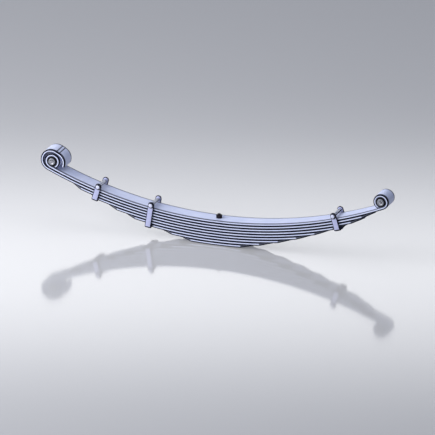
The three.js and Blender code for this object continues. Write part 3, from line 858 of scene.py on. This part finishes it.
def leaf_section(leaf, place):
    """Points of the section: how far across, how far below the upper face, and how dark."""
    inset = place["inset"]
    half = place["half_width"] - inset
    high = inset
    low = place["thickness"] - inset
    room = (low - high) / 2 - LEAST_ROUND
    upper = max(LEAST_ROUND, min(UPPER_ROUND - inset, room))
    lower = max(LEAST_ROUND, min(LOWER_ROUND - inset, room))
    shade_top = max(low - GROOVE_SHADE_ABOVE, high + upper + (low - high - upper - lower) / 2)
    shade_top = min(shade_top, low - lower - POINT_SPACING)
    face_dark = END_DARK if inset > 0 else 0.0
    under_dark = max(face_dark, place["mark"])
    side_dark = max(face_dark, TRIM_SHADE if place["trimmed"] else 0.0)
    edge_dark = MAIN_EDGE_DARK if leaf == 1 else 1.0
    side = [
        (half - upper - EDGE_BORDER, high, face_dark),
        (half - upper - EDGE_BORDER / 2, high, BORDER_DARK * edge_dark),
    ]
    # The main leaf's upper round is darkened evenly; on the other leaves it takes painted shade
    # from the groove above, fading out down the round.
    for y, n in corner_points(half - upper, high + upper, upper, -90):
        reach = 1.0 - (n - high - GROOVE_SHADE_BELOW) / UPPER_SHADE_FADE
        fade = edge_dark if leaf == 1 else max(0.0, min(1.0, reach))
        is_on_round = n < high + upper - POINT_SPACING
        side.append((y, n, max(fade if is_on_round else 0.0, side_dark)))
    middle = (high + upper + shade_top) / 2
    side.append((half, middle, side_dark))
    # Painted shade of the groove below: it starts part way down the side and covers the lower
    # round.
    shade_start = shade_top - min(LOWER_SHADE_FADE, (shade_top - middle) / 2)
    side.append((half, shade_start, side_dark))
    side.append((half, shade_top, 1.0))
    for y, n in corner_points(half - lower, low - lower, lower, 0):
        side.append((y, n, 1.0))
    side.append((half - lower - EDGE_BORDER / 2, low, BORDER_DARK))
    side.append((half - lower - EDGE_BORDER, low, under_dark))
    return side + [(-y, n, dark) for y, n, dark in reversed(side)]


def leaf_mesh(leaf, front, rear):
    """Joins the sections from the front end to the rear end and closes the ends."""
    stations = mirrored(front)[::-1] + rear
    bm = bmesh.new()
    shade_layer = bm.loops.layers.float.new("painted_shade_and_marks")
    unrolled_layer = bm.loops.layers.float_vector.new("unrolled")
    values = {}
    rings = []
    along = 0.0
    previous = None
    for place in stations:
        if previous is not None:
            along += (place["point"] - previous).length
        previous = place["point"]
        down = down_direction(place["angle"])
        upper_face = place["point"] - down * (LEAF_THICKNESS / 2)
        ring = []
        for y, n, dark in leaf_section(leaf, place):
            spot = upper_face + down * n
            vertex = bm.verts.new((spot.x, y, spot.y))
            depth = n + LEAF_NOISE_SHIFT * leaf
            values[vertex] = (dark, (along * MM, y * MM, depth * MM))
            ring.append(vertex)
        rings.append(ring)
    count = len(rings[0])
    for first, second in zip(rings, rings[1:]):
        for index in range(count):
            after = (index + 1) % count
            bm.faces.new((first[index], first[after], second[after], second[index]))
    bm.faces.new(rings[0][::-1])
    bm.faces.new(rings[-1])
    for face in bm.faces:
        for loop in face.loops:
            dark, unrolled = values[loop.vert]
            loop[shade_layer] = dark
            loop[unrolled_layer] = unrolled
    return from_bmesh(f"leaf_{leaf}", bm)


def seat_height(leaf):
    return (BOTTOM_RADIUS - middle_radius(leaf) - LEAF_THICKNESS / 2) * math.cos(SEAT_ANGLE)


def centre_hole(leaf):
    radius = (CENTRE_BOLT_DIAMETER + HOLE_CLEARANCE) / 2
    low = seat_height(leaf) - OVERRUN / 2
    return hole_cutter(radius, low, low + LEAF_THICKNESS + OVERRUN)


def head_recess():
    head = CENTRE_HEAD_DIAMETER / 2 + GAP
    shank = CENTRE_BOLT_DIAMETER / 2 + GAP
    return lathe("recess", [
        (0, -OVERRUN),
        (head, -OVERRUN),
        (head, CENTRE_HEAD_RIM + GAP),
        (shank, CENTRE_HEAD_DEPTH + GAP),
        (0, CENTRE_HEAD_DEPTH + GAP),
    ])


def rivet_hole(along, leaves):
    shank = (RIVET_DIAMETER + HOLE_CLEARANCE) / 2
    flare = (RIVET_FLARE_DIAMETER + HOLE_CLEARANCE) / 2
    hole = lathe("hole", [
        (0, -OVERRUN),
        (shank, -OVERRUN),
        (shank, LEAF_PITCH - RIVET_FLARE_DEPTH - GAP),
        (flare, LEAF_PITCH - GAP),
        (flare, LEAF_PITCH),
        (0, LEAF_PITCH),
    ], HOLE_STEPS)
    hole.data.transform(clip_frame(along) @ Matrix.Translation((0, 0, -leaves * LEAF_PITCH)))
    return hole


def make_leaf(leaf, node, front, rear):
    piece = leaf_mesh(leaf, front, rear)
    cut(piece, centre_hole(leaf))
    for _, along, leaves in CLIPS:
        if leaves == leaf:
            cut(piece, rivet_hole(along, leaves))
    if leaf == LEAF_COUNT:
        cut(piece, head_recess())
    finish_piece(piece, node, "spring", LEAF_PAINT)


def make_leaves():
    make_leaf(1, "leaf_1_main", eye_half(), eye_half())
    make_leaf(2, "leaf_2_wrapper", wrapper_half(), plain_half(2, 1))
    for leaf in range(3, LEAF_COUNT + 1):
        make_leaf(leaf, f"leaf_{leaf}", plain_half(leaf, -1), plain_half(leaf, 1))


# ----------------------------------------------------------------------
# Centre bolt
# ----------------------------------------------------------------------


def make_centre_bolt():
    pack_height = seat_height(1) + LEAF_THICKNESS * math.cos(SEAT_ANGLE)
    shank = CENTRE_BOLT_DIAMETER / 2
    head = CENTRE_HEAD_DIAMETER / 2
    top = pack_height + GAP + CENTRE_NUT_HEIGHT + CENTRE_BOLT_STAND_OUT
    thread_low = pack_height + GAP - 4
    bolt = threaded_rod("bolt", shank, 2, thread_low, top, CENTRE_THREAD_PITCH)
    flush_head = lathe("head", [
        (0, 0),
        (head - 0.4, 0),
        (head, 0.4),
        (head, CENTRE_HEAD_RIM),
        (shank, CENTRE_HEAD_DEPTH),
        (0, CENTRE_HEAD_DEPTH),
    ])
    combine(bolt, flush_head, "UNION")
    finish_piece(bolt, "centre_bolt", "spring", BLACK_OXIDE)
    nut = hex_nut("nut", CENTRE_NUT_FLATS, CENTRE_NUT_HEIGHT, CENTRE_BOLT_DIAMETER)
    nut.data.transform(Matrix.Translation((0, 0, pack_height + GAP)))
    finish_piece(nut, "centre_bolt_nut", "spring", BLACK_OXIDE)


# ----------------------------------------------------------------------
# Rebound clips
# ----------------------------------------------------------------------

TURN_TO_Y = Matrix.Rotation(-math.pi / 2, 4, "X")
ON_BOLT_AXIS = Matrix.Translation((0, 0, CLIP_BOLT_RISE)) @ TURN_TO_Y


def strap_outline(floor):
    """The U of the strap, as (y, z) points."""
    steps = 8
    top = CLIP_BOLT_RISE + STRAP_WIDTH / 2
    bend_height = floor + STRAP_BEND_RADIUS
    bend_across = STRAP_INNER - STRAP_BEND_RADIUS
    outer = []
    inner = []
    for step in range(steps + 1):
        angle = math.radians(90 * step / steps)
        for radius, points in (
            (STRAP_BEND_RADIUS + STRAP_THICKNESS, outer),
            (STRAP_BEND_RADIUS, inner),
        ):
            y = bend_across + radius * math.sin(angle)
            points.append((y, bend_height - radius * math.cos(angle)))
    outer = [(-y, z) for y, z in reversed(outer)] + outer
    inner = [(-y, z) for y, z in reversed(inner)] + inner
    return [(-STRAP_OUTER, top), *outer, (STRAP_OUTER, top), (STRAP_INNER, top),
            *reversed(inner), (-STRAP_INNER, top)]


def ear_outline(floor):
    """The strap in side view, as (x, z) points: straight legs with round ears."""
    half = STRAP_WIDTH / 2
    steps = 32
    low = floor - STRAP_THICKNESS - OVERRUN
    points = [(-half, low), (half, low)]
    for step in range(steps + 1):
        angle = math.pi * step / steps
        points.append((half * math.cos(angle), CLIP_BOLT_RISE + half * math.sin(angle)))
    return points


def has_scale_or_painted_shade(face):
    """Whether a strap's face is dark: its sides and the ears' tops have dark scale, and its
    underside has painted shade.
    """
    is_side = abs(face.normal.x) > 0.6
    is_underside = face.normal.z < -0.1
    is_ear_top = face.center.z > CLIP_BOLT_RISE and face.normal.z > 0.3
    return is_side or is_underside or is_ear_top


def make_strap(name, place, leaves):
    floor = -leaves * LEAF_PITCH
    half = STRAP_WIDTH / 2
    piece = prism("strap", strap_outline(floor), -half, half)
    piece.data.transform(Matrix(((0, 0, 1, 0), (1, 0, 0, 0), (0, 1, 0, 0), (0, 0, 0, 1))))
    reach = STRAP_OUTER + OVERRUN
    sides = prism("sides", ear_outline(floor), -reach, reach)
    sides.data.transform(Matrix.Rotation(math.pi / 2, 4, "X"))
    combine(piece, sides, "INTERSECT")
    use_two_materials(piece, CLIP_PAINT, SCALE_AND_PAINTED_SHADE, has_scale_or_painted_shade)
    round_edges(piece, STRAP_ROUND, 4, 1, clamp=False)
    bolt_hole = hole_cutter((CLIP_BOLT_DIAMETER + HOLE_CLEARANCE) / 2, -reach, reach)
    bolt_hole.data.transform(ON_BOLT_AXIS)
    low = floor - STRAP_THICKNESS - OVERRUN
    rivet_shaft = hole_cutter((RIVET_DIAMETER + HOLE_CLEARANCE) / 2, low, floor + OVERRUN)
    cut(piece, bolt_hole, rivet_shaft)
    finish_piece(piece, f"{name}_strap", "spring", place=place)


def make_rivet(name, place, leaves):
    shank = RIVET_DIAMETER / 2
    flare = RIVET_FLARE_DIAMETER / 2
    head = RIVET_HEAD_DIAMETER / 2
    head_face = -STRAP_THICKNESS - GAP
    top = LEAF_THICKNESS - GAP
    dome_steps = 10
    profile = []
    for step in range(dome_steps + 1):
        angle = math.radians(90 * step / dome_steps)
        height = head_face - RIVET_HEAD_HEIGHT * math.cos(angle)
        profile.append((head * math.sin(angle), height))
    profile += [(shank, head_face), (shank, top - RIVET_FLARE_DEPTH), (flare, top), (0, top)]
    piece = lathe("rivet", profile, CLIP_STEPS)
    piece.data.transform(Matrix.Translation((0, 0, -leaves * LEAF_PITCH)))
    finish_piece(piece, f"{name}_rivet", "spring", BOLT_PAINT, place=place)


def is_hex_flat(face):
    """Whether a face is one of the six flats of a head or nut round Z."""
    off_axis = math.hypot(face.center.x, face.center.y)
    return abs(face.normal.z) < 0.3 and off_axis > CLIP_BOLT_DIAMETER / 2 + 1


def make_clip_bolt(name, place):
    """The bolt is made along Z with its head at the bottom, and turned to run along Y."""
    radius = CLIP_BOLT_DIAMETER / 2
    head_face = -STRAP_OUTER - GAP
    end = STRAP_OUTER + GAP + CLIP_NUT_HEIGHT + CLIP_BOLT_STAND_OUT
    bolt = threaded_rod("bolt", radius, head_face - 2, STRAP_OUTER - 4, end, CLIP_THREAD_PITCH)
    head = hexagon("head", CLIP_FLATS, CLIP_HEAD_HEIGHT, True, False)
    head.data.transform(Matrix.Translation((0, 0, head_face - CLIP_HEAD_HEIGHT)))
    combine(bolt, head, "UNION")
    use_two_materials(bolt, BOLT_PAINT, SCALE_AND_PAINTED_SHADE, is_hex_flat)
    bolt.data.transform(ON_BOLT_AXIS)
    finish_piece(bolt, f"{name}_bolt", "spring", place=place)
    nut = hex_nut("nut", CLIP_FLATS, CLIP_NUT_HEIGHT, CLIP_BOLT_DIAMETER)
    nut.data.transform(Matrix.Translation((0, 0, STRAP_OUTER + GAP)))
    use_two_materials(nut, BOLT_PAINT, SCALE_AND_PAINTED_SHADE, is_hex_flat)
    nut.data.transform(ON_BOLT_AXIS)
    finish_piece(nut, f"{name}_nut", "spring", place=place)


def make_spacer(name, place):
    inner = (CLIP_BOLT_DIAMETER + HOLE_CLEARANCE) / 2
    outer = SPACER_DIAMETER / 2
    half = STRAP_INNER - GAP
    corners = [(inner, -half), (outer, -half), (outer, half), (inner, half)]
    piece = lathe("spacer", rounded_profile(corners, SPACER_EDGE), CLIP_STEPS)
    piece.data.transform(TURN_TO_Y)
    # The spacer's lower half takes the dark material as painted shade.
    use_two_materials(piece, SPACER_STEEL, SCALE_AND_PAINTED_SHADE, lambda face: face.normal.z < 0.2)
    piece.data.transform(Matrix.Translation((0, 0, CLIP_BOLT_RISE)))
    finish_piece(piece, f"{name}_spacer", "spring", place=place)


def make_clips():
    for name, along, leaves in CLIPS:
        place = clip_frame(along)
        make_strap(name, place, leaves)
        make_rivet(name, place, leaves)
        make_clip_bolt(name, place)
        make_spacer(name, place)


# ----------------------------------------------------------------------
# Rubber bushes
# ----------------------------------------------------------------------


def bush_piece(profile):
    """A turned piece about Y, with its middle at the origin."""
    piece = lathe("bush", profile)
    piece.data.transform(TURN_TO_Y)
    return piece


def is_in_bore(face):
    return math.hypot(face.center.x, face.center.z) < SLEEVE_BORE / 2 + 0.5


def make_bush(name, end):
    """The shell, the rubber and the sleeve of the bush at this end, -1 or 1."""
    place = Matrix.Translation(eye_centre(end))
    half = SHELL_LENGTH / 2
    inner, outer = SHELL_INNER / 2, SHELL_OUTER / 2
    corners = [(inner, -half), (outer, -half), (outer, half), (inner, half)]
    shell = bush_piece(rounded_profile(corners, SHELL_EDGE))
    finish_piece(shell, f"{name}_shell", "spring", SHELL_STEEL, place=place)

    half = RUBBER_LENGTH / 2
    inner, outer = SLEEVE_DIAMETER / 2 + GAP, SHELL_INNER / 2 - GAP
    middle = (inner + outer) / 2
    corners = [
        (inner, -half),
        (inner + RUBBER_LIP, -half),
        (middle, RUBBER_GROOVE - half),
        (outer - RUBBER_LIP, -half),
        (outer, RUBBER_CHAMFER - half),
        (outer, half - RUBBER_CHAMFER),
        (outer - RUBBER_LIP, half),
        (middle, half - RUBBER_GROOVE),
        (inner + RUBBER_LIP, half),
        (inner, half),
    ]
    rubber = bush_piece(rounded_profile(corners, RUBBER_EDGE, 4))
    finish_piece(rubber, f"{name}_rubber", "spring", MOULDED_RUBBER, place=place)

    half = SLEEVE_LENGTH / 2
    inner, outer = SLEEVE_BORE / 2, SLEEVE_DIAMETER / 2
    corners = [
        (inner, SLEEVE_CHAMFER - half),
        (inner + SLEEVE_CHAMFER, -half),
        (outer - SLEEVE_CHAMFER, -half),
        (outer, SLEEVE_CHAMFER - half),
        (outer, half - SLEEVE_CHAMFER),
        (outer - SLEEVE_CHAMFER, half),
        (inner + SLEEVE_CHAMFER, half),
        (inner, half - SLEEVE_CHAMFER),
    ]
    body = name.replace("bush", "sleeve")
    sleeve = bush_piece(rounded_profile(corners, SLEEVE_EDGE))
    # The bore's wall takes the pale material, painted light inside the bore.
    use_two_materials(sleeve, SLEEVE_STEEL, BORE_PAINTED_LIGHT, is_in_bore)
    finish_piece(sleeve, f"{name}_sleeve", body, place=place)


# ----------------------------------------------------------------------
# Floor, light and camera
# ----------------------------------------------------------------------

CAMERA_AZIMUTH = math.radians(20.3)
CAMERA_ELEVATION = math.radians(19.8)
CAMERA_DISTANCE = 60.0  # metres, for a view with almost no perspective
VIEW_WIDTH = 1.7032  # metres across the image at the spring
SENSOR_WIDTH = 36
AIM_LEFT = 0.0066  # metres from the middle of the pack's top to the image's centre
AIM_UP = 0.0008

# The floor, in metres. It mirrors the softbox behind the spring.
FLOOR_SIZE = 60
FLOOR_DROP = 0.0005  # below the lowest leaf
FLOOR_COLOUR = (0.35, 0.35, 0.365)
FLOOR_ROUGHNESS = 0.09
FLOOR_IOR = 1.7
FLOOR_GLOW = 0.14

SKY_COLOUR = (0.62, 0.72, 1.0)
SKY_STRENGTH = 0.24

# Each light in front: its name, place, width and height in metres, its watts and its colour.
FRONT_LIGHTS = (
    ("key", (-4.2, -2.6, 2.9), 4.0, 4.0, 375, (1, 1, 1)),
    ("top", (0.0, 0.3, 3.0), 3.0, 2.4, 30, (1, 1, 1)),
    ("fill", (-1.5, -8.0, 2.3), 11.0, 4.2, 265, (0.96, 0.98, 1.0)),
)

# The softbox behind the spring, in metres and watts.
BACK_X = -2.5
BACK_Y = 8.0
BACK_LOW = 2.4
BACK_HIGH = 3.95
BACK_WIDTH = 22
BACK_ROWS = 8
BACK_POWER = 28


def camera_axes():
    sin_a, cos_a = math.sin(CAMERA_AZIMUTH), math.cos(CAMERA_AZIMUTH)
    sin_e, cos_e = math.sin(CAMERA_ELEVATION), math.cos(CAMERA_ELEVATION)
    back = Vector((sin_a * cos_e, -cos_a * cos_e, sin_e))
    right = Vector((cos_a, sin_a, 0))
    up = Vector((-sin_a * sin_e, cos_a * sin_e, cos_e))
    return back, right, up


def make_camera():
    back, right, up = camera_axes()
    pack_top = Vector((0, 0, (LEAF_COUNT * LEAF_PITCH - GAP) * MM))
    target = pack_top - right * AIM_LEFT + up * AIM_UP
    data = bpy.data.cameras.new("camera")
    data.sensor_width = SENSOR_WIDTH
    data.lens = SENSOR_WIDTH * CAMERA_DISTANCE / VIEW_WIDTH
    data.clip_start = 1
    data.clip_end = 4 * CAMERA_DISTANCE
    camera = bpy.data.objects.new("camera", data)
    camera.location = target + back * CAMERA_DISTANCE
    camera.rotation_mode = "QUATERNION"
    camera.rotation_quaternion = (-back).to_track_quat("-Z", "Y")
    bpy.context.scene.collection.objects.link(camera)
    bpy.context.scene.camera = camera


def make_floor():
    half = FLOOR_SIZE / 2
    corners = [(-half, -half, 0), (half, -half, 0), (half, half, 0), (-half, half, 0)]
    mesh = bpy.data.meshes.new("floor")
    mesh.from_pydata(corners, [], [(0, 1, 2, 3)])
    floor = link_object("floor", mesh)
    floor.location.z = cad_low.z - FLOOR_DROP
    material, shader = new_material("floor", FLOOR_ROUGHNESS, 0.0, IOR=FLOOR_IOR)
    shader.inputs["Base Color"].default_value = (*FLOOR_COLOUR, 1)
    shader.inputs["Emission Color"].default_value = (1, 1, 1, 1)
    shader.inputs["Emission Strength"].default_value = FLOOR_GLOW
    mesh.materials.append(material)


def add_light(name, location, width, height, power, colour):
    """A soft rectangular light that faces the origin."""
    data = bpy.data.lights.new(name, "AREA")
    data.shape = "RECTANGLE"
    data.size = width
    data.size_y = height
    data.energy = power
    data.color = colour
    light = bpy.data.objects.new(name, data)
    light.location = location
    light.rotation_mode = "QUATERNION"
    light.rotation_quaternion = Vector(location).to_track_quat("Z", "Y")
    bpy.context.scene.collection.objects.link(light)


def make_light():
    world = bpy.data.worlds.new("studio")
    world.use_nodes = True
    background = world.node_tree.nodes["Background"]
    background.inputs["Color"].default_value = (*SKY_COLOUR, 1)
    background.inputs["Strength"].default_value = SKY_STRENGTH
    bpy.context.scene.world = world
    for light in FRONT_LIGHTS:
        add_light(*light)
    # The softbox is in rows whose power rises and falls, so that its edges are soft.
    row_height = (BACK_HIGH - BACK_LOW) / BACK_ROWS
    for row in range(BACK_ROWS):
        share = (row + 0.5) / BACK_ROWS
        place = (BACK_X, BACK_Y, BACK_LOW + share * (BACK_HIGH - BACK_LOW))
        power = BACK_POWER * math.sin(math.pi * share) ** 2
        add_light(f"back_{row}", place, BACK_WIDTH, row_height, power, (1, 1, 1))
    bpy.context.scene.view_settings.view_transform = "Standard"


# ----------------------------------------------------------------------
# The spring
# ----------------------------------------------------------------------

make_camera()
make_light()
make_floor()
make_leaves()
make_centre_bolt()
make_clips()
make_bush("front_bush", -1)
make_bush("rear_bush", 1)
